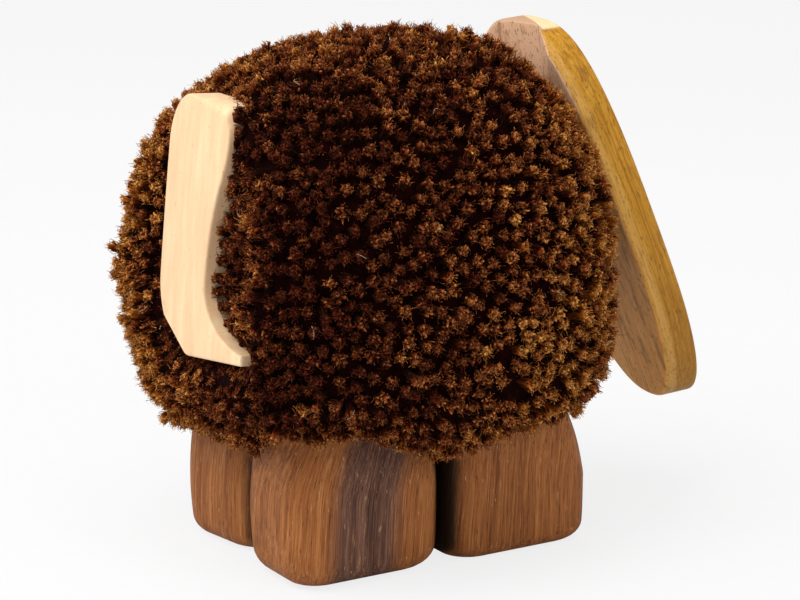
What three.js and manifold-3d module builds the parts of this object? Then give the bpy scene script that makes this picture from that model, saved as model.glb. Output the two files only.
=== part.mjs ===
// A dog figurine: a woolly body bound on a wooden core, four chunky block legs,
// a long face board and a hooked tail, all fixed to the core with dowels.
// Millimetres, +Z up. The dog looks along -Y, so its left side is at +X.
import * as THREE from 'three';
import { mergeVertices } from 'three/addons/utils/BufferGeometryUtils.js';
import Module from 'manifold-3d';

// Fits
const GLUE_GAP = 0.3;            // glue line between two pieces that sit on each other
const DOWEL_CLEARANCE = 0.3;     // round a dowel or a peg in its hole
const WOOL_CLEARANCE = 0.4;      // between the wool and the wood in it

// Legs: blocks with round corners, widest at the belly and drawn in towards the top
const LEG_WIDTH = 21.4;          // across the dog
const LEG_LENGTH = 30.2;         // along the dog
const LEG_HEIGHT = 34;
const LEG_CORNER_RADIUS = 6;
const LEG_EDGE_RADIUS = 4.2;
const LEG_BELLY_HEIGHT = 12;
const LEG_TOP_INSET = 3.4;
const LEG_FOOT_INSET = 0.6;
const LEG_GAP_ACROSS = 2;
const LEG_GAP_ALONG = 0.8;

// Core: the hidden block that everything is fixed to
const CORE_WIDTH = 40;
const CORE_LENGTH = 46;
const CORE_HEIGHT = 36;
const CORE_CENTRE_Y = 2;
const CORE_CORNER_RADIUS = 5;
const CORE_EDGE_RADIUS = 3;

// Binding cord: a flat loop of twine in a groove round the waist of the core
const CORD_WIDTH = 3.4;
const CORD_DEPTH = 2.2;

// Wool: a pile with a round front and a blunt rear, fuller below its widest level than above
const WOOL_WIDTH = 77.6;
const WOOL_FRONT = 40.9;         // from the middle of the wool
const WOOL_REAR = 37.8;
const WOOL_CENTRE_Y = 3.7;
const WOOL_SKIRT = 11.5;         // how far the wool hangs down over the legs
const WOOL_LOWER = 27;           // from the widest level to the hem
const WOOL_UPPER = 41.7;         // from the widest level to the crown
const WOOL_LEAN = 4.5;           // how far the crown sits towards the head
const WOOL_FRONT_POWER = 2.5;
const WOOL_REAR_POWER = 3.4;
const WOOL_UPPER_POWER = 2.2;
const WOOL_LOWER_POWER = 4.2;
const WOOL_REAR_FULLNESS = 0.9;  // added to the upper power towards the rear right
const WOOL_FULL_TURN = 118;      // degrees from the dog's left, over its rear
const WOOL_FULL_SPREAD = 35;     // degrees

// Head: a long oval board that leans back at the top, with its edges cut nearly level
const HEAD_LENGTH = 80.2;
const HEAD_WIDTH = 29.4;
const HEAD_THICKNESS = 6;
const HEAD_TOP_POWER = 3;
const HEAD_CHIN_POWER = 2.4;
const HEAD_EDGE_RADIUS = 0.8;
const HEAD_TILT = 23.6;          // degrees from upright
const HEAD_SLANT = 20.7;         // degrees between the edges and the square of the board
const HEAD_RISE = 56.6;          // top of the back face above the underside of the core
const HEAD_REACH = 25.1;         // top of the back face ahead of the middle of the legs

// Eyes and nose: pegs with a domed head
const EYE_DIAMETER = 5;
const EYE_DOME = 1.7;
const EYE_SPACING = 17;
const EYE_DROP = 25;             // below the top of the board
const EYE_SHANK_DIAMETER = 2.4;
const EYE_SHANK_LENGTH = 2.6;
const NOSE_DIAMETER = 9;
const NOSE_DOME = 3.6;
const NOSE_DROP = 63;
const NOSE_SHANK_DIAMETER = 4;
const NOSE_SHANK_LENGTH = 3.6;

// Tail: a flat board, wide at the top, waisted, and hooked to the dog's right at the tip
const TAIL_LENGTH = 45.5;
const TAIL_THICKNESS = 6;
const TAIL_TOP_WIDTH = 20.7;
const TAIL_WAIST_WIDTH = 16.2;
const TAIL_WAIST_HEIGHT = 13;
const TAIL_NECK_REACH = 4.2;     // how far the inner side stands out from the waist at the neck
const TAIL_NECK_HEIGHT = 30.7;
const TAIL_NECK_SLOPE = 0.5;     // sideways for each step in height
const TAIL_TOP_SWELL = 3.7;      // reach of the bulge below the inner top corner
const TAIL_BOW = 14.3;           // how far the outer side bows from the tail's upright line
const TAIL_BOW_HEIGHT = 12;
const TAIL_HEEL = 2.5;           // where the round heel meets the bottom edge
const TAIL_TOP_SET_IN = 0.3;     // outer side at the top, in from the bow
const TAIL_SHOULDER_WIDTH = 9;
const TAIL_SHOULDER_HEIGHT = 12;
const TAIL_TOP_FALL = 0.5;       // how much the top edge falls towards the shoulder
const TAIL_CORNER_RADIUS = 1.6;
const TAIL_HOOK_REACH = 14.8;    // how far the tip reaches the other way
const TAIL_HOOK_DEPTH = 1.9;     // height of the tip's end face
const TAIL_HOOK_RISE = 3.4;      // foot of that face above the lowest point
const TAIL_EDGE_RADIUS = 0.5;
const TAIL_RISE = 4.9;           // lowest point above the underside of the core
const TAIL_REAR = 39.9;          // foot of the rear face behind the middle of the legs
const TAIL_TILT = 5;             // degrees from upright, with the top towards the body
const TAIL_OFFSET_X = -3;

// Dish: the pile is pressed in round the tail
const DISH_PROUD = 2.6;          // how much of the tail's thickness stands out of the dish
const DISH_WIDTH = 60;
const DISH_HEIGHT = 80;
const DISH_ROUND = 10;           // depth of the rounded bottom

// Dowels
const LEG_DOWEL_DIAMETER = 6;
const LEG_DOWEL_SEAT = 10;       // depth in the leg and in the core
const BOARD_DOWEL_DIAMETER = 5;
const BOARD_DOWEL_SEAT = 9;      // depth in the core
const BOARD_SOCKET = 3.4;        // depth in the back of the head board and the tail
const HEAD_DOWEL_DROP = 24;      // below the top of the board
const HEAD_DOWEL_SPACING = 8;
const TAIL_DOWEL_SPACING = 12;
const TAIL_DOWEL_RISE = 15;      // lower dowel above the tail's lowest point
const TAIL_DOWEL_X = 4;          // from the tail's upright line
const DOWEL_END_GAP = 0.5;       // air at the end of each hole

// Facets
const ROUND_FACETS = 20;
const DOME_STEPS = 4;
const CORNER_STEPS = 4;
const EDGE_STEPS = 2;
const LEG_STEPS = 4;
const BOARD_STEPS = 40;
const TAIL_STEPS = 6;
const WOOL_RINGS = 28;
const WOOL_SECTORS = 56;
const MERGE_TOLERANCE = 1e-4;
const QUARTER_HANDLE = 0.5523;   // makes a cubic curve follow a quarter of an ellipse

const wasm = await Module();
wasm.setup();

// A geometry as a solid for cutting: only positions, with shared vertices merged.
function toSolid(geometry) {
  const plain = geometry.clone();
  plain.deleteAttribute('normal');
  plain.deleteAttribute('uv');
  const merged = mergeVertices(plain, MERGE_TOLERANCE);
  const mesh = new wasm.Mesh({
    numProp: 3,
    vertProperties: new Float32Array(merged.attributes.position.array),
    triVerts: new Uint32Array(merged.index.array),
  });
  return new wasm.Manifold(mesh);
}

function toGeometry(solid) {
  const mesh = solid.getMesh();
  const geometry = new THREE.BufferGeometry();
  geometry.setAttribute('position', new THREE.BufferAttribute(mesh.vertProperties, 3));
  geometry.setIndex(new THREE.BufferAttribute(mesh.triVerts, 1));
  geometry.computeVertexNormals();
  return geometry;
}

function cut(geometry, tools) {
  const solid = tools.reduce((rest, tool) => rest.subtract(toSolid(tool)), toSolid(geometry));
  return toGeometry(solid);
}

// Outlines

function roundedRectangle(width, length, radius) {
  const x = width / 2;
  const y = length / 2;
  const r = Math.min(radius, x, y);
  const shape = new THREE.Shape();
  shape.absarc(x - r, y - r, r, 0, Math.PI / 2);
  shape.absarc(-x + r, y - r, r, Math.PI / 2, Math.PI);
  shape.absarc(-x + r, -y + r, r, Math.PI, 1.5 * Math.PI);
  shape.absarc(x - r, -y + r, r, 1.5 * Math.PI, 2 * Math.PI);
  shape.closePath();
  return shape;
}

function signedPower(value, power) {
  return Math.sign(value) * Math.abs(value) ** power;
}

// The face board's outline hangs below the origin: a superellipse, squarer at the top than at the chin.
function headOutline() {
  const points = [];
  for (let i = 0; i < BOARD_STEPS; i += 1) {
    const angle = (2 * Math.PI * i) / BOARD_STEPS;
    const power = angle < Math.PI ? HEAD_TOP_POWER : HEAD_CHIN_POWER;
    const x = (HEAD_WIDTH / 2) * signedPower(Math.cos(angle), 2 / power);
    const y = (HEAD_LENGTH / 2) * (signedPower(Math.sin(angle), 2 / power) - 1);
    points.push(new THREE.Vector2(x, y));
  }
  return new THREE.Shape(points);
}

// A quarter of an ellipse from the last point to (x, y). It leaves upright or level,
// and ends the other way.
function quarterRound(shape, x, y, upright) {
  const from = shape.currentPoint.clone();
  const nearX = upright ? from.x : THREE.MathUtils.lerp(from.x, x, QUARTER_HANDLE);
  const nearY = upright ? THREE.MathUtils.lerp(from.y, y, QUARTER_HANDLE) : from.y;
  const farX = upright ? THREE.MathUtils.lerp(x, from.x, QUARTER_HANDLE) : x;
  const farY = upright ? y : THREE.MathUtils.lerp(y, from.y, QUARTER_HANDLE);
  shape.bezierCurveTo(nearX, nearY, farX, farY, x, y);
}

// The tail's outline, with its lowest point at height 0 and its upright line at x 0.
function tailOutline() {
  const waist = TAIL_BOW - TAIL_WAIST_WIDTH;
  const topOuter = TAIL_BOW - TAIL_TOP_SET_IN;
  const topInner = topOuter - TAIL_TOP_WIDTH;
  const shoulderTop = TAIL_LENGTH - TAIL_TOP_FALL;
  const shoulderFoot = shoulderTop - TAIL_SHOULDER_HEIGHT;
  const hookTop = TAIL_HOOK_RISE + TAIL_HOOK_DEPTH;
  const neck = waist - TAIL_NECK_REACH;
  const swell = topInner - TAIL_TOP_SWELL;
  const swellHeight = TAIL_NECK_HEIGHT + (neck - swell) / TAIL_NECK_SLOPE;
  const waistTop = TAIL_NECK_HEIGHT - (waist - neck) / TAIL_NECK_SLOPE;
  const shape = new THREE.Shape();
  shape.moveTo(TAIL_HEEL, 0);
  quarterRound(shape, TAIL_BOW, TAIL_BOW_HEIGHT, false);
  shape.quadraticCurveTo(TAIL_BOW, (TAIL_BOW_HEIGHT + shoulderFoot) / 2, topOuter, shoulderFoot);
  quarterRound(shape, topOuter - TAIL_SHOULDER_WIDTH, shoulderTop, true);
  shape.lineTo(topInner + TAIL_CORNER_RADIUS, TAIL_LENGTH);
  quarterRound(shape, topInner, TAIL_LENGTH - TAIL_CORNER_RADIUS, false);
  shape.quadraticCurveTo(swell, swellHeight, neck, TAIL_NECK_HEIGHT);
  shape.quadraticCurveTo(waist, waistTop, waist, TAIL_WAIST_HEIGHT);
  quarterRound(shape, -TAIL_HOOK_REACH, hookTop, true);
  shape.lineTo(-TAIL_HOOK_REACH, TAIL_HOOK_RISE);
  shape.closePath();
  return shape;
}

// Solids

// A flat outline as a plate from y 0 forwards, with eased edges. The outline's y becomes height.
function plate(outline, thickness, edge, curveSegments) {
  const geometry = new THREE.ExtrudeGeometry(outline, {
    depth: thickness - 2 * edge,
    curveSegments,
    bevelEnabled: true,
    bevelThickness: edge,
    bevelSize: edge,
    bevelOffset: -edge,
    bevelSegments: EDGE_STEPS,
  });
  geometry.translate(0, 0, edge);
  return geometry.rotateX(Math.PI / 2);
}

// The room that a plate needs in the wool: its outline grown all round, from behind it to far ahead.
function plateRoom(outline, back, front, curveSegments) {
  const geometry = new THREE.ExtrudeGeometry(outline, {
    depth: back - front - 2 * WOOL_CLEARANCE,
    curveSegments,
    bevelEnabled: true,
    bevelThickness: WOOL_CLEARANCE,
    bevelSize: WOOL_CLEARANCE,
    bevelSegments: 1,
  });
  geometry.translate(0, 0, WOOL_CLEARANCE - back);
  return geometry.rotateX(Math.PI / 2);
}

// A block with round corners and eased ends that stands on z 0.
function roundedBlock(width, length, height, corner, edge, steps) {
  const outline = roundedRectangle(width, length, corner);
  const geometry = new THREE.ExtrudeGeometry(outline, {
    depth: height - 2 * edge,
    steps,
    curveSegments: CORNER_STEPS,
    bevelEnabled: true,
    bevelThickness: edge,
    bevelSize: edge,
    bevelOffset: -edge,
    bevelSegments: EDGE_STEPS,
  });
  return geometry.translate(0, 0, edge);
}

function rod(diameter, length) {
  const geometry = new THREE.CylinderGeometry(diameter / 2, diameter / 2, length, ROUND_FACETS);
  return geometry.rotateX(Math.PI / 2);
}

// A hole for a rod of this diameter.
function bore(diameter, length) {
  return rod(diameter + 2 * DOWEL_CLEARANCE, length);
}

// A rod along Y between two places.
function rodAlongY(make, diameter, from, to) {
  return make(diameter, to - from).rotateX(Math.PI / 2).translate(0, (from + to) / 2, 0);
}

// A peg with a domed head that points along -Y, with the underside of its head at y 0.
function domedPeg(diameter, dome, shankDiameter, shankLength) {
  const profile = [new THREE.Vector2(0, -shankLength), new THREE.Vector2(shankDiameter / 2, -shankLength)];
  profile.push(new THREE.Vector2(shankDiameter / 2, 0));
  for (let i = 0; i <= DOME_STEPS; i += 1) {
    const angle = (Math.PI / 2) * (i / DOME_STEPS);
    const radius = i === DOME_STEPS ? 0 : (diameter / 2) * Math.cos(angle);
    profile.push(new THREE.Vector2(radius, dome * Math.sin(angle)));
  }
  return new THREE.LatheGeometry(profile, ROUND_FACETS).rotateX(Math.PI);
}

// Places that several pieces share

const legX = (LEG_WIDTH + LEG_GAP_ACROSS) / 2;
const legY = (LEG_LENGTH + LEG_GAP_ALONG) / 2;
const coreBase = LEG_HEIGHT + GLUE_GAP;
const coreFront = CORE_CENTRE_Y - CORE_LENGTH / 2;
const coreRear = CORE_CENTRE_Y + CORE_LENGTH / 2;
const woolHem = LEG_HEIGHT - WOOL_SKIRT;
const woolMiddle = woolHem + WOOL_LOWER;
const tilt = THREE.MathUtils.degToRad(HEAD_TILT);
const tailTilt = THREE.MathUtils.degToRad(TAIL_TILT);
const tailBase = coreBase + TAIL_RISE;
const eyeFace = -HEAD_THICKNESS - GLUE_GAP;

const legPlaces = [
  { name: 'rear_right', x: -legX, y: legY },
  { name: 'rear_left', x: legX, y: legY },
  { name: 'front_right', x: -legX, y: -legY },
  { name: 'front_left', x: legX, y: -legY },
];
const facePegs = [
  { name: 'right_eye', x: -EYE_SPACING / 2, drop: EYE_DROP, eye: true },
  { name: 'left_eye', x: EYE_SPACING / 2, drop: EYE_DROP, eye: true },
  { name: 'nose', x: 0, drop: NOSE_DROP, eye: false },
];
const headDowels = [
  { name: 'head_dowel_right', x: -HEAD_DOWEL_SPACING / 2 },
  { name: 'head_dowel_left', x: HEAD_DOWEL_SPACING / 2 },
];
const tailDowels = [
  { name: 'tail_dowel_lower', height: TAIL_DOWEL_RISE },
  { name: 'tail_dowel_upper', height: TAIL_DOWEL_RISE + TAIL_DOWEL_SPACING },
];

// The head's own frame: origin at the top of the back face, -Y out of the face, -Z down the board.
const headGroup = new THREE.Group();
headGroup.position.set(0, -HEAD_REACH, coreBase + HEAD_RISE);
headGroup.rotation.x = -tilt;
headGroup.updateMatrix();

// The edges of the board run nearly level from back to front, so its front sits lower than its back.
const headSlant = new THREE.Matrix4();
headSlant.makeShear(0, 0, 0, Math.tan(THREE.MathUtils.degToRad(HEAD_SLANT)), 0, 0);

// How far behind the board, along its own Y, the front of the core lies at the dowels.
const headToCore = (coreFront + HEAD_REACH + HEAD_DOWEL_DROP * Math.sin(tilt)) / Math.cos(tilt);

// The tail's own frame: origin at the foot of the rear face, +Y out of that face, +Z up the board.
const tailGroup = new THREE.Group();
tailGroup.position.set(TAIL_OFFSET_X, TAIL_REAR, tailBase);
tailGroup.rotation.x = tailTilt;
tailGroup.updateMatrix();

// Where the rear of the core lies along the tail's own Y, at a height up the board.
function tailToCore(height) {
  return (coreRear - TAIL_REAR + height * Math.sin(tailTilt)) / Math.cos(tailTilt);
}

// Dowels and the holes for them, from the same ends

function legDowel(make, extra) {
  const length = 2 * LEG_DOWEL_SEAT + GLUE_GAP + 2 * extra;
  return make(LEG_DOWEL_DIAMETER, length).translate(0, 0, LEG_HEIGHT + GLUE_GAP / 2);
}

function headDowel(make, extra) {
  const from = -BOARD_SOCKET - extra;
  const to = headToCore + BOARD_DOWEL_SEAT + extra;
  return rodAlongY(make, BOARD_DOWEL_DIAMETER, from, to).translate(0, 0, -HEAD_DOWEL_DROP);
}

function tailDowel(make, extra, height) {
  const from = tailToCore(height) - BOARD_DOWEL_SEAT - extra;
  const to = BOARD_SOCKET - TAIL_THICKNESS + extra;
  return rodAlongY(make, BOARD_DOWEL_DIAMETER, from, to).translate(TAIL_DOWEL_X, 0, height);
}

const legHoles = legPlaces.map(({ x, y }) => legDowel(bore, DOWEL_END_GAP).translate(x, y, 0));
const headHoles = headDowels.map(({ x }) => headDowel(bore, DOWEL_END_GAP).translate(x, 0, 0));
const headHolesInPlace = headHoles.map((hole) => hole.clone().applyMatrix4(headGroup.matrix));
const tailHoles = tailDowels.map(({ height }) => tailDowel(bore, DOWEL_END_GAP, height));
const tailHolesInPlace = tailHoles.map((hole) => hole.clone().applyMatrix4(tailGroup.matrix));

// Pieces

function legGeometry() {
  const block = roundedBlock(LEG_WIDTH, LEG_LENGTH, LEG_HEIGHT,
    LEG_CORNER_RADIUS, LEG_EDGE_RADIUS, LEG_STEPS);
  const position = block.attributes.position;
  for (let i = 0; i < position.count; i += 1) {
    const rise = position.getZ(i) - LEG_BELLY_HEIGHT;
    const span = rise > 0 ? LEG_HEIGHT - LEG_BELLY_HEIGHT : LEG_BELLY_HEIGHT;
    const inset = (rise > 0 ? LEG_TOP_INSET : LEG_FOOT_INSET) * (rise / span) ** 2;
    position.setX(i, position.getX(i) * (1 - (2 * inset) / LEG_WIDTH));
    position.setY(i, position.getY(i) * (1 - (2 * inset) / LEG_LENGTH));
  }
  return cut(block, [legDowel(bore, DOWEL_END_GAP)]);
}

// The cord's loop, or with a margin the groove for it, round the waist of the core.
function cordLoop(margin) {
  const depth = CORD_DEPTH + margin;
  const radius = CORE_EDGE_RADIUS;
  const outline = roundedRectangle(CORE_WIDTH + 2 * margin, CORE_HEIGHT + 2 * margin, radius);
  outline.holes.push(roundedRectangle(CORE_WIDTH - 2 * depth, CORE_HEIGHT - 2 * depth, radius));
  const width = CORD_WIDTH + 2 * margin;
  const loop = new THREE.ExtrudeGeometry(outline, {
    depth: width,
    curveSegments: CORNER_STEPS,
    bevelEnabled: false,
  });
  loop.translate(0, 0, -width / 2);
  loop.rotateX(Math.PI / 2);
  return loop.translate(0, CORE_CENTRE_Y, coreBase + CORE_HEIGHT / 2);
}

function coreBlock(grow) {
  const block = roundedBlock(CORE_WIDTH + 2 * grow, CORE_LENGTH + 2 * grow, CORE_HEIGHT + 2 * grow,
    CORE_CORNER_RADIUS + grow, CORE_EDGE_RADIUS + grow, 1);
  return block.translate(0, CORE_CENTRE_Y, coreBase - grow);
}

function coreGeometry() {
  const holes = [...legHoles, ...headHolesInPlace, ...tailHolesInPlace];
  return cut(coreBlock(0), [cordLoop(DOWEL_CLEARANCE), ...holes]);
}

// How far back the pile may reach: up to the floor of a rounded dish round the tail, free beside it.
function dishFloor(x, z) {
  const across = (x - TAIL_OFFSET_X) / (DISH_WIDTH / 2);
  const up = (z - tailBase - TAIL_LENGTH / 2) / (DISH_HEIGHT / 2);
  const inside = 1 - across ** 2 - up ** 2;
  if (inside <= 0) return Infinity;
  const tailFace = TAIL_REAR - (z - tailBase) * Math.tan(tailTilt);
  return tailFace - DISH_PROUD + DISH_ROUND * (1 - Math.sqrt(inside));
}

// The power of the pile's profile above its widest level, which is fuller towards the rear right.
function upperPower(turn) {
  const away = THREE.MathUtils.radToDeg(turn) - WOOL_FULL_TURN;
  const wrapped = THREE.MathUtils.euclideanModulo(away + 180, 360) - 180;
  return WOOL_UPPER_POWER + WOOL_REAR_FULLNESS * Math.exp(-((wrapped / WOOL_FULL_SPREAD) ** 2));
}

// The pile: a sphere pulled out to a squarish plan that leans to the head,
// with one pocket for the legs and the core.
function woolGeometry() {
  const ball = new THREE.SphereGeometry(1, WOOL_SECTORS, WOOL_RINGS).rotateX(Math.PI / 2);
  const position = ball.attributes.position;
  for (let i = 0; i < position.count; i += 1) {
    const sine = THREE.MathUtils.clamp(position.getZ(i), -1, 1);
    const cosine = Math.hypot(position.getX(i), position.getY(i));
    const turn = Math.atan2(position.getY(i), position.getX(i));
    const power = sine > 0 ? upperPower(turn) : WOOL_LOWER_POWER;
    const spread = cosine ** (2 / power);
    const planPower = turn > 0 ? WOOL_REAR_POWER : WOOL_FRONT_POWER;
    const along = signedPower(Math.sin(turn), 2 / planPower);
    const across = signedPower(Math.cos(turn), 2 / planPower);
    const rise = signedPower(sine, 2 / power);
    const lean = WOOL_LEAN * Math.max(rise, 0) ** 2;
    const reach = (along > 0 ? WOOL_REAR : WOOL_FRONT) * spread * along;
    const x = (WOOL_WIDTH / 2) * spread * across;
    const y = WOOL_CENTRE_Y + reach - lean;
    const z = woolMiddle + (sine > 0 ? WOOL_UPPER : WOOL_LOWER) * rise;
    position.setXYZ(i, x, Math.min(y, dishFloor(x, z)), z);
  }
  const legRoom = roundedBlock(
    2 * LEG_WIDTH + LEG_GAP_ACROSS + 2 * WOOL_CLEARANCE,
    2 * LEG_LENGTH + LEG_GAP_ALONG + 2 * WOOL_CLEARANCE,
    LEG_HEIGHT + 2 * WOOL_CLEARANCE,
    LEG_CORNER_RADIUS + WOOL_CLEARANCE,
    WOOL_CLEARANCE,
    1,
  );
  const headRoom = plateRoom(headOutline(), WOOL_CLEARANCE, -2 * HEAD_THICKNESS, BOARD_STEPS);
  headRoom.applyMatrix4(headSlant).applyMatrix4(headGroup.matrix);
  const tailRoom = plateRoom(tailOutline(), WOOL_REAR, -TAIL_THICKNESS - WOOL_CLEARANCE, TAIL_STEPS);
  tailRoom.applyMatrix4(tailGroup.matrix);
  const rooms = [legRoom, coreBlock(WOOL_CLEARANCE), headRoom, tailRoom];
  return cut(ball, [...rooms, ...headHolesInPlace, ...tailHolesInPlace]);
}

function facePeg(eye) {
  return eye
    ? domedPeg(EYE_DIAMETER, EYE_DOME, EYE_SHANK_DIAMETER, EYE_SHANK_LENGTH + GLUE_GAP)
    : domedPeg(NOSE_DIAMETER, NOSE_DOME, NOSE_SHANK_DIAMETER, NOSE_SHANK_LENGTH + GLUE_GAP);
}

function facePegHole({ x, drop, eye }) {
  const diameter = eye ? EYE_SHANK_DIAMETER : NOSE_SHANK_DIAMETER;
  const depth = (eye ? EYE_SHANK_LENGTH : NOSE_SHANK_LENGTH) + DOWEL_END_GAP;
  const face = -HEAD_THICKNESS;
  return rodAlongY(bore, diameter, face - depth, face + depth).translate(x, 0, -drop);
}

function headGeometry() {
  const board = plate(headOutline(), HEAD_THICKNESS, HEAD_EDGE_RADIUS, BOARD_STEPS);
  board.applyMatrix4(headSlant);
  return cut(board, [...headHoles, ...facePegs.map(facePegHole)]);
}

function tailGeometry() {
  const board = plate(tailOutline(), TAIL_THICKNESS, TAIL_EDGE_RADIUS, TAIL_STEPS);
  return cut(board, tailHoles);
}

// Materials

function material(color, roughness) {
  return new THREE.MeshStandardMaterial({ color, roughness, metalness: 0 });
}

const darkWood = () => material(0x8a5536, 0.55);
const paleWood = () => material(0xf0d2a4, 0.6);
const boardWood = () => material(0xb98b4e, 0.5);
const plainWood = () => material(0xd8bd92, 0.7);
const blackWood = () => material(0x1c1512, 0.35);
const wool = () => material(0x3d1c0e, 1);
const twine = () => material(0xb9a27c, 0.9);

// Assembly

const dog = new THREE.Group();

function addPiece(parent, name, geometry, finish) {
  const mesh = new THREE.Mesh(geometry, finish);
  mesh.name = name;
  parent.add(mesh);
  return mesh;
}

addPiece(dog, 'wool_pile', woolGeometry(), wool());
addPiece(dog, 'body_core', coreGeometry(), plainWood());
addPiece(dog, 'binding_cord', cordLoop(0), twine());
for (const { name, x, y } of legPlaces) {
  addPiece(dog, `${name}_leg`, legGeometry(), darkWood()).position.set(x, y, 0);
  addPiece(dog, `${name}_leg_dowel`, legDowel(rod, 0), plainWood()).position.set(x, y, 0);
}
addPiece(tailGroup, 'tail', tailGeometry(), paleWood());
for (const { name, height } of tailDowels) {
  addPiece(tailGroup, name, tailDowel(rod, 0, height), plainWood());
}
dog.add(tailGroup);
addPiece(headGroup, 'head_board', headGeometry(), boardWood());
for (const { name, x } of headDowels) {
  addPiece(headGroup, name, headDowel(rod, 0), plainWood()).position.x = x;
}
for (const { name, x, drop, eye } of facePegs) {
  addPiece(headGroup, name, facePeg(eye), blackWood()).position.set(x, eyeFace, -drop);
}
dog.add(headGroup);

// The origin is on the floor, under the middle of the whole figure.
const box = new THREE.Box3().setFromObject(dog, true);
const middle = box.getCenter(new THREE.Vector3());
dog.position.set(-middle.x, -middle.y, -box.min.z);

export default dog;
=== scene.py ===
import math

import bmesh
import bpy
import numpy as np
from mathutils import Matrix, Vector


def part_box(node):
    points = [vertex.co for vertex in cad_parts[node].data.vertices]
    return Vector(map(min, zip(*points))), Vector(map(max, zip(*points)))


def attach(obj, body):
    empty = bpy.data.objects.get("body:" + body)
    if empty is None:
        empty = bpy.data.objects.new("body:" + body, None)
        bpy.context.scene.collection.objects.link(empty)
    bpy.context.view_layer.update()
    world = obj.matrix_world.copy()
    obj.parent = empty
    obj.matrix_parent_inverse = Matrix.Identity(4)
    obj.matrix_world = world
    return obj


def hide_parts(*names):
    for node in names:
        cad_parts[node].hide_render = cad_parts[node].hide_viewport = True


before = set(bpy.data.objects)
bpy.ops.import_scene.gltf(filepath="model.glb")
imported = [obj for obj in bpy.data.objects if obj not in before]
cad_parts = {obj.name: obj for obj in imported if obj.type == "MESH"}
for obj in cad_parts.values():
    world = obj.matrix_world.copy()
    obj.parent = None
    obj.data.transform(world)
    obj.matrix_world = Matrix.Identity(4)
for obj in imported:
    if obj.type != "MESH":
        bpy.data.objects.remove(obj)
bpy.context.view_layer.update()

MM = 0.001
FULL_TURN = 2 * math.pi
QUARTER_TURN = math.pi / 2
rng = np.random.default_rng(20)


# Places from the CAD boxes, in millimetres

def box_mm(node):
    low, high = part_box(node)
    return np.array(low) / MM, np.array(high) / MM


core_low, core_high = box_mm("body_core")
LEGS_FRONT = box_mm("front_right_leg")[0][1]
LEGS_REAR = box_mm("rear_right_leg")[1][1]
LEGS_MIDDLE = (LEGS_FRONT + LEGS_REAR) / 2


# Sizes, in millimetres

LEG_CORNER = 6.0
LEG_EDGE = 4.2
LEG_SHARP_FOOT = 3.1
LEG_BELLY = 12.0
LEG_TOP_INSET = 3.4
LEG_FOOT_INSET = 0.6
LEG_FRONT_LEAN = 5.0
LEG_WOBBLE = 0.16
LEG_WOBBLE_LENGTH = 16.0
LEG_FLAT_FOOT = 3

LAYER_WANDER = 2.6
LAYER_LEAN = 0.06
LAYER_ARCH_START = 13.0
STREAK_CORE = 4.0
STREAK_FADE = 8.4

WOOL_HALF_WIDTH = 38.8
WOOL_FRONT = 40.9
WOOL_REAR = 37.8
WOOL_CENTRE = LEGS_MIDDLE + 3.7
WOOL_HEM = 22.5
WOOL_MIDDLE = 49.5
WOOL_CROWN = 91.2
WOOL_LEAN = 4.5
WOOL_FRONT_POWER = 2.5
WOOL_REAR_POWER = 3.4
WOOL_UPPER_POWER = 2.2
WOOL_LOWER_POWER = 4.2
WOOL_REAR_FULLNESS = 0.9
WOOL_FAR_REAR_SLACK = 1.1

HEAD_LENGTH = 80.2
HEAD_WIDTH = 29.4
HEAD_THICKNESS = 6.7
HEAD_TOP_POWER = 3.2
HEAD_CHIN_POWER = 2.4
HEAD_EDGE = 0.7
HEAD_SLANT = math.tan(math.radians(20.7))
HEAD_TILT = math.radians(23.6)
HEAD_TOP = Vector((0, LEGS_MIDDLE - 25.1, 90.9))

CUT_FAR_DEPTH = 3.7
CUT_FAR_START = 3.6
CUT_FAR_SLOPE = 0.21
CUT_NEAR_START = 13.0
CUT_NEAR_SLOPE = 0.39
CUT_FALL = 0.23
CUT_LEAVES = 0.8

EYE_ASIDE = 8.5
EYE_LEVEL = -25.0
EYE_DIAMETER = 5.0
EYE_HEIGHT = 1.7
NOSE_LEVEL = -63.0
NOSE_DIAMETER = 9.0
NOSE_HEIGHT = 3.6
PEG_FACE = -HEAD_THICKNESS - 0.3

TAIL_THICKNESS = 6.0
TAIL_EDGE = 0.45
TAIL_MIDDLE = 22.75
TAIL_TOP_ROUND = 3.0
TAIL_TOP_FALL = 2.0
TAIL_TILT = math.radians(5)
TAIL_FOOT = Vector((-3.0, LEGS_MIDDLE + 39.9, 39.2))
TAIL_CHIP_POINT = Vector((7.4, 0, 2.6))
TAIL_CHIP_NORMAL = Vector((0.42, 0.55, -0.72)).normalized()
TAIL_SHARP_ANGLE = math.radians(28)

DISH_HALF_WIDTH = 30.0
DISH_HALF_HEIGHT = 40.0
DISH_DEPTH = 10.0
DISH_PROUD = 2.6

head_matrix = Matrix.Translation(HEAD_TOP) @ Matrix.Rotation(-HEAD_TILT, 4, "X")
tail_matrix = Matrix.Translation(TAIL_FOOT) @ Matrix.Rotation(TAIL_TILT, 4, "X")

# Where the face board's colours and painted light change, in metres of its own frame
BOARD_DULL = (-0.075, -0.03)
BOARD_EDGE_HIGHLIGHT = (-0.0022, -0.001)
BOARD_LIT_BACK_TOP = (-0.019, -0.013)
BOARD_TOP_LIGHT = (-0.0062, -0.0052)
BOARD_TOP_SPLIT = (-0.0195, -0.0185)


# Colours and shader nodes

def rgb(red, green, blue):
    """A display colour from 0 to 255 as a linear one with alpha."""
    values = np.array([red, green, blue]) / 255
    low = values / 12.92
    high = ((values + 0.055) / 1.055) ** 2.4
    return (*np.where(values <= 0.04045, low, high).tolist(), 1.0)


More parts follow.
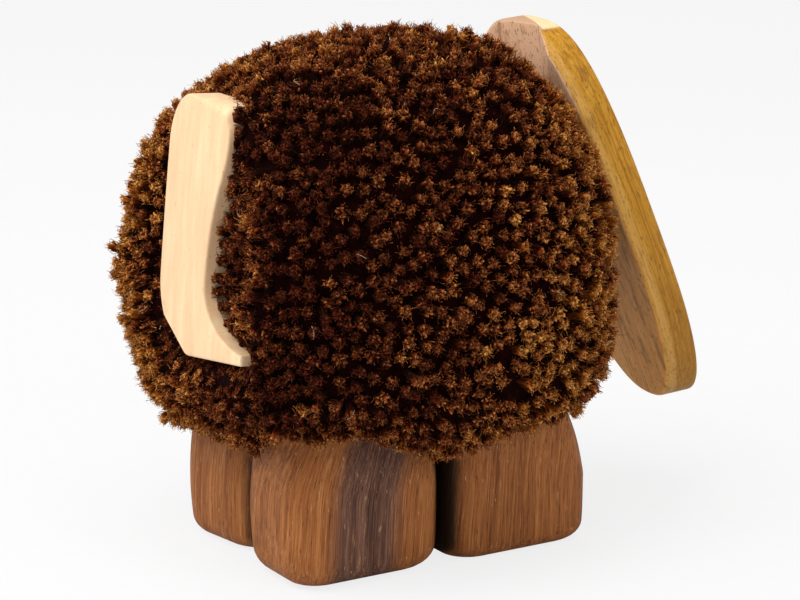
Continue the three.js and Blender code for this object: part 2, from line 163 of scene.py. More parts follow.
class Nodes:
    """A node tree, emptied first."""

    def __init__(self, tree):
        self.tree = tree
        self.tree.nodes.clear()

    def add(self, kind, inputs=None):
        """A new node, with its inputs set or linked."""
        node = self.tree.nodes.new("ShaderNode" + kind)
        for name, value in (inputs or {}).items():
            self.put(node.inputs[name], value)
        return node

    def link(self, source, target):
        self.tree.links.new(source, target)

    def put(self, socket, value):
        if isinstance(value, bpy.types.NodeSocket):
            self.link(value, socket)
        elif value is not None:
            socket.default_value = value


class Shader(Nodes):
    """A material's nodes, with short calls for those used here."""

    def __init__(self, name, roughness, specular=0.5):
        self.material = bpy.data.materials.new(name)
        self.material.use_nodes = True
        super().__init__(self.material.node_tree)
        self.output = self.add("OutputMaterial")
        self.surface = self.add("BsdfPrincipled")
        self.give("Roughness", roughness)
        self.give("Specular IOR Level", specular)
        self.link(self.surface.outputs["BSDF"], self.output.inputs["Surface"])

    def give(self, name, value):
        """Sets or links an input of the surface."""
        self.put(self.surface.inputs[name], value)

    def coordinates(self, kind="Object"):
        return self.add("TexCoord").outputs[kind]

    def scaled(self, vector, scale, move=(0, 0, 0)):
        node = self.add("Mapping", {"Vector": vector, "Scale": scale, "Location": move})
        return node.outputs["Vector"]

    def millimetres(self, move=(0, 0, 0)):
        return self.scaled(self.coordinates(), (1 / MM, 1 / MM, 1 / MM), move)

    def noise(self, vector, scale, detail=3.0, roughness=0.55, move=(0, 0, 0), distortion=0.0):
        """Noise over coordinates that are scaled and then moved."""
        node = self.add("TexNoise", {
            "Vector": self.scaled(vector, scale, move), "Scale": 1.0, "Detail": detail,
            "Roughness": roughness, "Distortion": distortion,
        })
        return node.outputs["Fac"]

    def math(self, kind, a, b=None, clamp=False):
        node = self.add("Math")
        node.operation = kind
        node.use_clamp = clamp
        self.put(node.inputs[0], a)
        self.put(node.inputs[1], b)
        return node.outputs["Value"]

    def times(self, a, b):
        return self.math("MULTIPLY", a, b)

    def plus(self, value, other, amount):
        """value plus amount times other."""
        return self.math("ADD", value, self.times(other, amount))

    def ramp(self, factor, stops):
        node = self.add("ValToRGB", {"Fac": factor})
        marks = node.color_ramp.elements
        while len(marks) < len(stops):
            marks.new(1.0)
        for mark, (place, colour) in zip(marks, stops):
            mark.position = place
            mark.color = colour
        return node.outputs["Color"]

    def step(self, factor, low, high):
        """0 below low, 1 above high, and smooth between them."""
        node = self.add("MapRange", {"Value": factor, "From Min": low, "From Max": high})
        node.interpolation_type = "SMOOTHSTEP"
        return node.outputs["Result"]

    def below(self, factor, low, high):
        """1 below low, 0 above high, and smooth between them."""
        return self.math("SUBTRACT", 1.0, self.step(factor, low, high))

    def mix(self, factor, a, b):
        node = self.add("Mix")
        node.data_type = "RGBA"
        self.put(node.inputs["Factor"], factor)
        first, second = [i for i in node.inputs if i.type == "RGBA"]
        self.put(first, a)
        self.put(second, b)
        return [o for o in node.outputs if o.type == "RGBA"][0]

    def tint(self, base, factor, amount, colour):
        """base with amount times factor of another colour."""
        return self.mix(self.times(factor, amount), base, colour)

    def split(self, vector):
        return self.add("SeparateXYZ", {"Vector": vector}).outputs

    def join(self, x, y, z):
        return self.add("CombineXYZ", {"X": x, "Y": y, "Z": z}).outputs["Vector"]

    def bump(self, height, strength, distance):
        node = self.add("Bump", {"Height": height, "Strength": strength, "Distance": distance})
        self.give("Normal", node.outputs["Normal"])

    def rough(self, least, factor, amount):
        """Roughness from least up, by amount times factor."""
        self.give("Roughness", self.plus(least, factor, amount))

    def colour(self, value):
        self.give("Base Color", value)


def dark_wood(name, move, turn, streak, arch, inner):
    """Oiled brown hardwood in upright layers that arch over at the top.

    turn is the way the layers face, streak is where a dark one lies,
    and inner is which sides, in X and in Y, get painted shade, darker as in the gaps between the
    legs.
    """
    s = Shader(name, 0.5, 0.15)
    mm = s.millimetres()
    x, y, z = s.split(mm)
    cosine, sine = math.cos(turn), math.sin(turn)
    wander = s.noise(mm, (0.07, 0.07, 0.03), 2.0, move=move)
    layer = s.plus(s.times(x, cosine), y, sine)
    layer = s.plus(layer, wander, LAYER_WANDER)
    layer = s.plus(layer, z, LAYER_LEAN)
    over = s.math("MAXIMUM", s.math("SUBTRACT", z, LAYER_ARCH_START), 0.0)
    layer = s.plus(layer, s.times(over, over), arch)
    cross = s.plus(s.times(x, sine), y, -cosine)
    grain = s.join(layer, cross, z)
    broad = s.noise(grain, (0.55, 0.14, 0.015), 3.0, 0.6, move)
    lines = s.noise(grain, (3.2, 0.9, 0.05), 4.0, 0.65, move)
    fine = s.noise(grain, (6.5, 4.0, 0.2), 4.0, 0.65, move)
    tone = s.plus(s.times(broad, 0.35), lines, 0.65)
    wood = s.ramp(tone, [
        (0.34, rgb(100, 55, 25)),
        (0.46, rgb(143, 84, 41)),
        (0.56, rgb(164, 101, 52)),
        (0.68, rgb(190, 126, 72)),
    ])
    from_streak = s.math("ABSOLUTE", s.math("SUBTRACT", layer, streak))
    dusk = s.ramp(tone, [
        (0.36, rgb(58, 38, 33)),
        (0.52, rgb(100, 69, 58)),
        (0.68, rgb(140, 104, 86)),
    ])
    wood = s.tint(wood, s.below(from_streak, STREAK_CORE, STREAK_FADE), 0.9, dusk)
    pores = s.step(fine, 0.57, 0.68)
    wood = s.tint(wood, pores, 0.8, rgb(44, 22, 13))
    wood = s.tint(wood, s.below(fine, 0.33, 0.42), 0.45, rgb(214, 158, 104))
    specks = s.noise(mm, (1.9, 1.9, 0.6), 1.0, move=move)
    wood = s.tint(wood, s.step(specks, 0.70, 0.80), 0.6, rgb(208, 160, 116))
    # Painted shade: the sides that face the other legs darken almost to black, as the shade in the
    # gaps between them
    gap_shade_x, gap_shade_y = [
        s.times(facing, way)
        for facing, way in zip(s.split(s.coordinates("Normal")), inner)
    ]
    inward = s.math("MAXIMUM", gap_shade_x, gap_shade_y)
    wood = s.tint(wood, s.step(inward, 0.52, 0.86), 0.95, rgb(12, 4, 2))
    s.colour(wood)
    s.rough(0.4, fine, 0.25)
    s.bump(s.plus(lines, pores, -0.6), 0.45, 0.0003)
    return s.material


def board_wood(name):
    """Honey coloured hardwood: pinkish on its faces, yellow and flecked on its edge, with painted
    light on its back face, its top and along the back of its edge.
    """
    s = Shader(name, 0.5, 0.2)
    mm = s.millimetres((31, 7, 12))
    long_grain = s.noise(mm, (0.9, 2.2, 0.06), 6.0, 0.6, distortion=0.3)
    fine = s.noise(mm, (6.0, 6.0, 0.35), 4.0, 0.6)
    facing, upward = s.split(s.coordinates("Normal"))[1:]
    face = s.step(s.math("ABSOLUTE", facing), 0.45, 0.85)
    back = s.step(facing, 0.3, 0.7)
    edge_colour = s.ramp(long_grain, [
        (0.30, rgb(166, 108, 12)),
        (0.50, rgb(198, 139, 36)),
        (0.70, rgb(218, 162, 62)),
    ])
    face_colour = s.ramp(long_grain, [
        (0.30, rgb(170, 118, 70)),
        (0.50, rgb(198, 149, 100)),
        (0.72, rgb(218, 172, 124)),
    ])
    # Painted light: the back face, left in shade by the lamps, gets brighter colours as if lit
    lit_back_colour = s.ramp(long_grain, [
        (0.30, rgb(222, 152, 70)),
        (0.50, rgb(246, 176, 90)),
        (0.72, rgb(255, 196, 116)),
    ])
    face_colour = s.mix(back, face_colour, lit_back_colour)
    across, depth, height = s.split(s.coordinates())
    edge_colour = s.tint(edge_colour, s.below(height, *BOARD_DULL), 0.5, rgb(128, 80, 22))
    # Painted highlight: a pale streak along the edge next to the back face
    pale = s.step(s.plus(depth, long_grain, MM), *BOARD_EDGE_HIGHLIGHT)
    edge_colour = s.tint(edge_colour, pale, 0.5, rgb(226, 176, 96))
    # Painted light: the top of the back face is paler still, as if brightly lit
    lit_back_top = s.times(s.step(height, *BOARD_LIT_BACK_TOP), back)
    face_colour = s.mix(lit_back_top, face_colour, rgb(255, 206, 166))
    wood = s.mix(face, edge_colour, face_colour)
    blots = s.noise(mm, (0.55, 0.55, 0.13), 3.0, 0.6)
    wood = s.tint(wood, s.step(blots, 0.52, 0.7), 0.5, rgb(122, 78, 30))
    flecks = s.noise(mm, (3.2, 3.2, 0.75), 2.0)
    wood = s.tint(wood, s.step(flecks, 0.58, 0.68), 0.6, rgb(104, 66, 26))
    wood = s.tint(wood, s.step(fine, 0.6, 0.72), 0.35, rgb(96, 60, 30))
    # Painted light from above: the up-facing top turns pale cream on one side of a slanting line and
    # duller on the other
    end = s.step(s.plus(upward, fine, 0.06), 0.62, 0.74)
    end = s.times(end, s.step(s.plus(across, fine, MM), *BOARD_TOP_LIGHT))
    top_split = s.step(s.plus(across, depth, 4.2), *BOARD_TOP_SPLIT)
    top_light_colour = s.mix(top_split, rgb(250, 226, 176), rgb(206, 164, 132))
    s.colour(s.tint(wood, end, 0.92, top_light_colour))
    s.rough(0.36, fine, 0.25)
    s.bump(s.plus(long_grain, fine, 0.4), 0.25, 0.0002)
    return s.material


def pale_wood(name):
    """Sanded pale hardwood with a faint upright grain and a few small specks."""
    s = Shader(name, 0.55)
    mm = s.millimetres((3, 15, 40))
    grain = s.noise(mm, (0.4, 0.4, 0.06), 4.0, 0.5, distortion=0.2)
    fine = s.noise(mm, (4.5, 4.5, 0.3), 4.0, 0.6)
    wood = s.ramp(grain, [
        (0.30, rgb(245, 198, 150)),
        (0.50, rgb(249, 208, 162)),
        (0.70, rgb(252, 220, 174)),
    ])
    wood = s.tint(wood, s.step(fine, 0.55, 0.75), 0.3, rgb(206, 162, 116))
    specks = s.noise(mm, (2.4, 2.4, 0.9), 1.0)
    s.colour(s.tint(wood, s.step(specks, 0.66, 0.73), 0.4, rgb(186, 142, 100)))
    s.rough(0.45, fine, 0.2)
    s.bump(s.plus(grain, fine, 0.5), 0.2, 0.00015)
    return s.material


def plain_wood(name, dark, light):
    """Wood with a simple grain, for the hidden core, the dowels and the stained pegs."""
    s = Shader(name, 0.55)
    grain = s.noise(s.millimetres(), (1.2, 1.2, 0.12), 5.0, 0.6)
    s.colour(s.ramp(grain, [(0.3, dark), (0.7, light)]))
    s.bump(grain, 0.2, 0.0002)
    return s.material


def twine_material():
    """Pale waxed twine with the turns of its strands."""
    s = Shader("twine", 0.8)
    turns = s.noise(s.millimetres(), (1.5, 4.0, 1.5))
    s.colour(s.ramp(turns, [(0.3, rgb(134, 110, 78)), (0.7, rgb(196, 172, 130))]))
    s.bump(turns, 0.4, 0.0003)
    return s.material


YARN_TONES = 64
GOLDEN_TONE = 0.7


def yarn_material():
    """Brown wool: the map's u picks a tone for each strand, and v runs from root to cut end; the
    tones carry painted light and shade, and the dark roots are painted shade deep in the pile.
    """
    s = Shader("yarn", 0.9, 0.05)
    place = s.add("UVMap")
    place.uv_map = "OFBake"
    uv = place.outputs["UV"]
    u, v = s.split(uv)[:2]
    tone = s.math("DIVIDE", s.math("FLOOR", s.times(u, YARN_TONES)), YARN_TONES)
    # Each ramp darkens to the root as painted shade deep in the pile; the golden ramp serves the
    # highest tones, which the painted light on the pile's lit sides mostly gives
    places = (0.0, 0.5, 0.78, 0.96)
    dull, bright, golden = [s.ramp(v, list(zip(places, colours))) for colours in (
        (rgb(6, 0, 0), rgb(24, 2, 0), rgb(58, 9, 4), rgb(100, 38, 19)),
        (rgb(10, 0, 0), rgb(54, 7, 2), rgb(148, 64, 22), rgb(214, 138, 76)),
        (rgb(60, 14, 2), rgb(150, 74, 18), rgb(204, 126, 48), rgb(240, 178, 98)),
    )]
    wool = s.mix(s.math("DIVIDE", tone, GOLDEN_TONE, True), dull, bright)
    past = s.math("SUBTRACT", tone, GOLDEN_TONE)
    wool = s.mix(s.math("DIVIDE", past, 1 - GOLDEN_TONE, True), wool, golden)
    strands = s.noise(uv, (YARN_TONES * 5, 5, 1), 2.0)
    s.colour(s.tint(wool, s.below(strands, 0.36, 0.56), 0.6, rgb(40, 4, 2)))
    s.give("Sheen Weight", 0.1)
    s.give("Sheen Roughness", 0.5)
    s.give("Sheen Tint", rgb(200, 140, 90))
    return s.material


def wool_base_material():
    """The depth of the pile, painted near black as the shade among the yarns."""
    s = Shader("wool_depth", 0.95, 0.05)
    lumps = s.noise(s.millimetres(), (0.6, 0.6, 0.6), 4.0)
    s.colour(s.ramp(lumps, [(0.3, rgb(8, 0, 0)), (0.7, rgb(30, 2, 1))]))
    s.bump(lumps, 0.6, 0.001)
    return s.material


def lint_material():
    """A few pale stray fibres."""
    s = Shader("lint", 0.7)
    shade = s.noise(s.millimetres(), (0.4, 0.4, 0.4))
    s.colour(s.ramp(shade, [(0.3, rgb(176, 146, 112)), (0.7, rgb(236, 222, 196))]))
    return s.material


# Meshes

def put_object(name, data, matrix=None):
    """A new object in the scene, placed by a matrix in millimetres."""
    obj = bpy.data.objects.new(name, data)
    bpy.context.scene.collection.objects.link(obj)
    if matrix is not None:
        place = matrix.copy()
        place.translation = place.translation * MM
        obj.matrix_world = place
    return obj


def mesh_object(name, points, faces, matrix=None, smooth=True):
    """A mesh from points in millimetres and lists of corners."""
    mesh = bpy.data.meshes.new(name)
    mesh.from_pydata([tuple(p) for p in np.asarray(points) * MM], [], faces)
    if smooth:
        mesh.shade_smooth()
    mesh.update()
    return put_object(name, mesh, matrix)


def set_material(obj, material):
    obj.data.materials.clear()
    obj.data.materials.append(material)


def finish_piece(obj, material, slot, *nodes):
    set_material(obj, material)
    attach(obj, "root")
    if nodes:
        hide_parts(*nodes)


def ring_faces(rings, count):
    """Quads between rings of equal count, with a fan to one point before and one after them."""
    faces = []
    first = rings * count
    last = first + 1
    top = (rings - 1) * count
    for r in range(rings - 1):
        low, high = r * count, (r + 1) * count
        for i in range(count):
            j = (i + 1) % count
            faces.append((low + i, low + j, high + j, high + i))
    for i in range(count):
        j = (i + 1) % count
        faces.append((first, j, i))
        faces.append((last, top + i, top + j))
    return faces


def round_edge(radius, steps):
    """Depths and insets along a rounded edge, from a flat face to the side."""
    angles = np.linspace(0, QUARTER_TURN, steps)
    return [(radius * (1 - math.cos(a)), radius * (1 - math.sin(a))) for a in angles]


def rounded_rectangle(half_x, half_y, radius, steps, spacing=0.8):
    """Points round a rectangle with round corners, with extra points on its sides."""
    points = []
    corners = [(1, 1, 0), (-1, 1, 90), (-1, -1, 180), (1, -1, 270)]
    for sign_x, sign_y, start in corners:
        for k in range(steps + 1):
            angle = math.radians(start + 90 * k / steps)
            points.append((
                sign_x * (half_x - radius) + radius * math.cos(angle),
                sign_y * (half_y - radius) + radius * math.sin(angle),
            ))
    points = np.array(points)
    dense = []
    for point, after in zip(points, np.roll(points, -1, axis=0)):
        parts = max(1, round(math.dist(point, after) / spacing))
        dense += [point + (after - point) * (k / parts) for k in range(parts)]
    return np.array(dense)


def smooth_wobble(points, size, length, seed):
    """A slow wave over points, as the small unevenness of shaped wood."""
    source = np.random.default_rng(seed)
    total = np.zeros(len(points))
    for wave in range(6):
        direction = source.normal(size=3)
        direction /= np.linalg.norm(direction)
        total += np.sin(points @ direction * (FULL_TURN / length) + source.uniform(0, 6.28))
    return size * total / 3


def leg(node, seed, turn, streak, front_lean=0.0, arch=0.0, foot_edge=LEG_SHARP_FOOT, skew=0.0):
    """A chunky leg: a block with round corners, a slight belly and a narrower top.

    front_lean is how far its front face leans back at the top, and skew is
    how far its rear face falls back towards the legs' middle.
    """
    low, high = box_mm(node)
    half_x, half_y, height = (high - low) * (0.5, 0.5, 1)
    middle = (low + high) / 2
    side = 1 if middle[0] > 0 else -1
    base = rounded_rectangle(half_x, half_y, LEG_CORNER, 12)
    shares = [0.35, 0.7]
    rings = [(0.0, foot_edge, share) for share in shares]
    rings += [(z, inset, 1.0) for z, inset in round_edge(foot_edge, 9)]
    rings += [(z, 0.0, 1.0) for z in np.linspace(foot_edge, height - LEG_EDGE, 26)[1:-1]]
    rings += [(height - depth, inset, 1.0) for depth, inset in round_edge(LEG_EDGE, 9)[::-1]]
    rings += [(height, LEG_EDGE, share) for share in shares[::-1]]
    points = []
    for z, inset, share in rings:
        rise = z - LEG_BELLY
        span = height - LEG_BELLY if rise > 0 else LEG_BELLY
        taper = (LEG_TOP_INSET if rise > 0 else LEG_FOOT_INSET) * (rise / span) ** 2
        shrink = taper + inset
        plan = base * share
        x = plan[:, 0] * (1 - shrink / half_x)
        y = plan[:, 1] * (1 - shrink / half_y)
        lean = front_lean * max(rise, 0) / span * np.clip(-plan[:, 1] / half_y, 0, 1)
        fall = skew * (half_x - side * plan[:, 0]) * np.clip(plan[:, 1] / half_y, 0, 1)
        points.append(np.stack((x, y + lean - fall, np.full(len(base), z)), -1))
    points = np.vstack((*points, [[0, 0, 0], [0, 0, height]]))
    wobble = smooth_wobble(points, LEG_WOBBLE, LEG_WOBBLE_LENGTH, seed)
    keep = np.clip(points[:, 2] / LEG_FLAT_FOOT, 0, 1)
    outward = points * (1, 1, 0)
    outward /= np.maximum(np.linalg.norm(outward, axis=1, keepdims=True), 0.1)
    points = points + outward * (wobble * keep)[:, None]
    obj = mesh_object(node + "_shaped", points, ring_faces(len(rings), len(base)))
    obj.location = Vector((middle[0], middle[1], low[2])) * MM
    move = (seed * 17.3, seed * 9.1, seed * 31.7)
    # The sides that face the other legs, which dark_wood paints with the shade of the gaps
    inner = (-side, -1 if middle[1] > LEGS_MIDDLE else 1)
    wood = dark_wood(node + "_wood", move, math.radians(turn), streak, arch, inner)
    finish_piece(obj, wood, "dark_wood", node)


def head_outline(count):
    angles = np.linspace(0, FULL_TURN, count, endpoint=False)
    power = np.where(angles < math.pi, HEAD_TOP_POWER, HEAD_CHIN_POWER)
    x = HEAD_WIDTH / 2 * signed_power(np.cos(angles), 2 / power)
    z = HEAD_LENGTH / 2 * (signed_power(np.sin(angles), 2 / power) - 1)
    return np.stack((x, z), -1)


def even_outline(points, count):
    """The same closed outline with evenly spaced points."""
    closed = np.vstack((points, points[:1]))
    length = np.concatenate(([0], np.cumsum(np.linalg.norm(np.diff(closed, axis=0), axis=1))))
    wanted = np.linspace(0, length[-1], count, endpoint=False)
    return np.stack([np.interp(wanted, length, closed[:, k]) for k in (0, 1)], -1)


def top_cut(x, z):
    """Depth of two flat cuts that meet in a ridge at the back of the board's top."""
    far = CUT_FAR_DEPTH - CUT_FAR_SLOPE * (x + CUT_FAR_START) + CUT_FALL * z
    near = CUT_NEAR_SLOPE * (x + CUT_NEAR_START) + CUT_FALL * z
    return np.clip(np.minimum(far, near), 0, HEAD_THICKNESS - CUT_LEAVES)


def head_board():
    """The face board, with soft edges and two flat cuts at the back of its top."""
    outline = even_outline(head_outline(2400), 240)
    centre = np.array([0, -HEAD_LENGTH / 2])
    half = np.array([HEAD_WIDTH, HEAD_LENGTH]) / 2
    shares = np.linspace(0.04, 1.0, 26)
    edge = round_edge(HEAD_EDGE, 6)
    side = HEAD_THICKNESS - HEAD_EDGE
    profile = [(share, 0.0, HEAD_EDGE) for share in shares]
    profile += [(1.0, depth, inset) for depth, inset in edge[1:]]
    profile += [(1.0, depth, 0.0) for depth in np.linspace(HEAD_EDGE, side, 7)[1:]]
    profile += [(1.0, HEAD_THICKNESS - depth, inset) for depth, inset in edge[-2::-1]]
    profile += [(share, HEAD_THICKNESS, HEAD_EDGE) for share in shares[-2::-1]]
    points = []
    for share, depth, inset in profile:
        plan = centre + (outline - centre) * share * (1 - inset / half)
        points.append(np.stack((plan[:, 0], np.full(len(plan), -depth), plan[:, 1]), -1))
    points = np.vstack((*points, [[0, 0, centre[1]], [0, -HEAD_THICKNESS, centre[1]]]))
    share = np.clip(1 + points[:, 1] / HEAD_THICKNESS, 0, 1)
    points[:, 1] -= top_cut(points[:, 0], points[:, 2]) * share
    points[:, 2] += HEAD_SLANT * points[:, 1]
    points[:, 1] += smooth_wobble(points * (1, 0, 1), 0.1, 22.0, 5)
    points[:, 0] += smooth_wobble(points * (0, 0, 1), 0.15, 30.0, 6) * points[:, 0] / 15
    faces = ring_faces(len(profile), len(outline))
    obj = mesh_object("head_board_shaped", points, faces, head_matrix)
    finish_piece(obj, board_wood("board_wood_shaped"), "board_wood", "head_board")


def quarter(points, x, y, upright, steps=14):
    """Adds a quarter of an ellipse from the last point to (x, y), which leaves upright or level."""
    from_x, from_y = points[-1]
    for k in range(1, steps + 1):
        angle = QUARTER_TURN * k / steps
        cosine, sine = math.cos(angle), math.sin(angle)
        if upright:
            points.append((x + (from_x - x) * cosine, from_y + (y - from_y) * sine))
        else:
            points.append((from_x + (x - from_x) * sine, y + (from_y - y) * cosine))


def bend(points, control_x, control_y, x, y, steps=20):
    """Adds a quadratic curve from the last point to (x, y)."""
    from_x, from_y = points[-1]
    for k in range(1, steps + 1):
        t = k / steps
        a, b, c = (1 - t) ** 2, 2 * t * (1 - t), t * t
        points.append((a * from_x + b * control_x + c * x, a * from_y + b * control_y + c * y))


def tail_outline():
    points = [(2.5, 0.0)]
    quarter(points, 14.3, 12.0, False)
    bend(points, 14.3, 23.5, 13.9, 35.0)
    quarter(points, 6.6, 44.8, True)
    points.append((-4.2, 45.0))
    quarter(points, -5.9, 43.4, False)
    bend(points, -8.6, 38.4, -4.7, 30.7)
    bend(points, -1.6, 22.3, -1.7, 13.0)
    quarter(points, -16.2, 4.4, True)
    points.append((-16.2, 2.6))
    return np.array(points)


def tail_rings():
    """The tail's depth, the inset of its edge and the fall of its top, from its front to its rear."""
    rings = [(depth - TAIL_THICKNESS, inset, 0.0) for depth, inset in round_edge(TAIL_EDGE, 5)]
    for angle in np.linspace(0, QUARTER_TURN, 12):
        depth = -TAIL_TOP_ROUND * (1 - math.sin(angle))
        near = max(0.0, 1 + depth / TAIL_EDGE)
        inset = TAIL_EDGE * (1 - math.sqrt(1 - near * near))
        rings.append((depth, inset, TAIL_TOP_FALL * (1 - math.cos(angle))))
    return rings


def tail():
    """The hooked tail board: eased edges, a top rounded to the rear and a small chip at its heel."""
    outline = even_outline(tail_outline(), 220)
    ahead = np.roll(outline, -1, axis=0) - np.roll(outline, 1, axis=0)
    inward = unit(np.stack((-ahead[:, 1], ahead[:, 0]), -1))
    rise = np.clip((outline[:, 1] - 37) / 7, 0, 1)
    topness = rise * rise * (3 - 2 * rise) * np.clip((7 - outline[:, 0]) / 11, 0, 1)
    shape = bmesh.new()
    rows = []
    for depth, inset, fall in tail_rings():
        plan = outline + inward * inset
        plan[:, 1] -= topness * fall
        rows.append([shape.verts.new((x, depth, z)) for x, z in plan])
    for row, after in zip(rows, rows[1:]):
        for k in range(len(row)):
            shape.faces.new((row[k - 1], row[k], after[k], after[k - 1]))
    shape.faces.new(rows[0])
    shape.faces.new(rows[-1])
    bmesh.ops.recalc_face_normals(shape, faces=shape.faces)
    geometry = shape.verts[:] + shape.edges[:] + shape.faces[:]
    cut = bmesh.ops.bisect_plane(
        shape, geom=geometry, plane_co=TAIL_CHIP_POINT, plane_no=TAIL_CHIP_NORMAL, clear_outer=True)
    border = [e for e in cut["geom_cut"] if isinstance(e, bmesh.types.BMEdge)]
    bmesh.ops.holes_fill(shape, edges=border, sides=0)
    bmesh.ops.triangulate(shape, faces=[f for f in shape.faces if len(f.verts) > 4])
    bmesh.ops.scale(shape, verts=shape.verts, vec=(MM, MM, MM))
    mesh = bpy.data.meshes.new("tail_shaped")
    shape.to_mesh(mesh)
    shape.free()
    mesh.shade_smooth()
    mesh.set_sharp_from_angle(angle=TAIL_SHARP_ANGLE)
    obj = put_object("tail_shaped", mesh, tail_matrix)
    finish_piece(obj, pale_wood("pale_wood_shaped"), "pale_wood", "tail")


def dome(node, local, diameter, height, material):
    """A turned peg's head on the front of the face board."""
    count, rings = 40, 12
    turn = np.linspace(0, FULL_TURN, count, endpoint=False)
    points = []
    for k in range(rings):
        angle = QUARTER_TURN * k / rings
        r = diameter / 2 * math.cos(angle)
        out = np.full(count, -height * math.sin(angle))
        points.append(np.stack((r * np.cos(turn), out, r * np.sin(turn)), -1))
    points = np.vstack((*points, [[0, 0, 0], [0, -height, 0]]))
    place = head_matrix @ Matrix.Translation(local)
    obj = mesh_object(node + "_turned", points, ring_faces(rings, count), place)
    finish_piece(obj, material, "black_wood", node)


# Wool

def unit(vectors):
    return vectors / np.maximum(np.linalg.norm(vectors, axis=-1, keepdims=True), 1e-9)


def signed_power(value, power):
    return np.sign(value) * np.abs(value) ** power


def fade(away, width):
    """1 at no distance, falling off smoothly over width."""
    return np.exp(-((away / width) ** 2))


def bell(turn, middle, width):
    """1 at an angle in degrees, falling off smoothly over width degrees to each side."""
    return fade((np.degrees(turn) - middle + 180) % 360 - 180, width)


def patch_sum(points, patches):
    """The sum of soft round patches, each with a centre, a radius and an amount."""
    total = np.zeros(points.shape[:-1])
    for centre, radius, amount in patches:
        total += amount * fade(np.linalg.norm(points - np.array(centre), axis=-1), radius)
    return total


# Where the lower edge rides up over a leg or hangs down: angle, width and height
HEM_WAVES = [
    (149, 38, 5.0),
    (59, 38, -6.6),
    (180, 9, -3.4),
    (239, 18, -2.0),
]


def hem_level(turn):
    """The height of the pile's lower edge."""
    level = WOOL_HEM
    for angle, width, rise in HEM_WAVES:
        level = level + rise * bell(turn, angle, width)
    return level


def wool_point(turn, latitude):
    """The pile's outer surface, before it is pressed in round the tail."""
    sine, cosine = np.sin(latitude), np.cos(latitude)
    lower = WOOL_LOWER_POWER - WOOL_FAR_REAR_SLACK * bell(turn, 59, 45)
    upper = WOOL_UPPER_POWER + WOOL_REAR_FULLNESS * bell(turn, 118, 35)
    power = np.where(sine > 0, upper, lower)
    spread = np.maximum(cosine, 0) ** (2 / power)
    rise = signed_power(sine, 2 / power)
    plan = np.where(np.sin(turn) > 0, WOOL_REAR_POWER, WOOL_FRONT_POWER)
    along = signed_power(np.sin(turn), 2 / plan)
    across = signed_power(np.cos(turn), 2 / plan)
    lean = WOOL_LEAN * np.maximum(rise, 0) ** 2
    reach = np.where(sine > 0, WOOL_CROWN - WOOL_MIDDLE, WOOL_MIDDLE - hem_level(turn))
    x = WOOL_HALF_WIDTH * spread * across
    y = WOOL_CENTRE + np.where(along > 0, WOOL_REAR, WOOL_FRONT) * spread * along - lean
    z = WOOL_MIDDLE + reach * rise
    return np.stack((x, y, z), -1)


def press_dish(points):
    """Presses the pile in round the tail."""
    up = points[..., 2] - TAIL_FOOT.z
    a = (points[..., 0] - TAIL_FOOT.x) / DISH_HALF_WIDTH
    b = (up - TAIL_MIDDLE) / DISH_HALF_HEIGHT
    inside = np.clip(1 - a * a - b * b, 0, 1)
    tail_face = TAIL_FOOT.y - up * math.tan(TAIL_TILT)
    floor_y = tail_face - DISH_PROUD + DISH_DEPTH * (1 - np.sqrt(inside))
    pressed = points.copy()
    pressed[..., 1] = np.where(inside > 0, np.minimum(points[..., 1], floor_y), points[..., 1])
    return pressed


# Where the pile stands a little fuller or lower: centre, radius and height
SWELLS = [
    ((-3.0, LEGS_MIDDLE - 19.0, 88.0), 10.0, 1.2),
    ((0.0, LEGS_MIDDLE + 3.0, 91.0), 18.0, -0.9),
    ((27.0, LEGS_MIDDLE + 38.0, 49.0), 4.5, 1.8),
    ((20.0, LEGS_MIDDLE + 31.0, 21.0), 6.0, 1.5),
    ((-10.0, LEGS_MIDDLE + 29.0, 84.0), 9.0, 3.6),
    ((24.0, LEGS_MIDDLE + 30.0, 76.0), 7.0, 0.9),
    ((12.0, LEGS_MIDDLE + 10.0, 90.0), 8.0, 0.3),
]


def wool_grid(sectors, rows):
    turn = np.linspace(-math.pi, math.pi, sectors, endpoint=False)
    latitude = np.linspace(-QUARTER_TURN, QUARTER_TURN, rows + 2)[1:-1]
    turns, latitudes = np.meshgrid(turn, latitude)
    grid = press_dish(wool_point(turns, latitudes))
    return grid + grid_normals(grid) * patch_sum(grid, SWELLS)[..., None]


def grid_normals(grid):
    east = np.roll(grid, -1, axis=1) - np.roll(grid, 1, axis=1)
    north = np.gradient(grid, axis=0)
    return unit(np.cross(east, north))


BASE_DEPTH = 1.7
BASE_LIFT_AT_TAIL = 1.0
POCKET_HALF_WIDTH = 23.2
POCKET_TOP = 34.6
POCKET_MARGIN = 0.8
CORE_MARGIN = 0.3
LEGS_HALF_WIDTH = 22.6
LEGS_TOP = 34.2
LEGS_MARGIN = 0.2


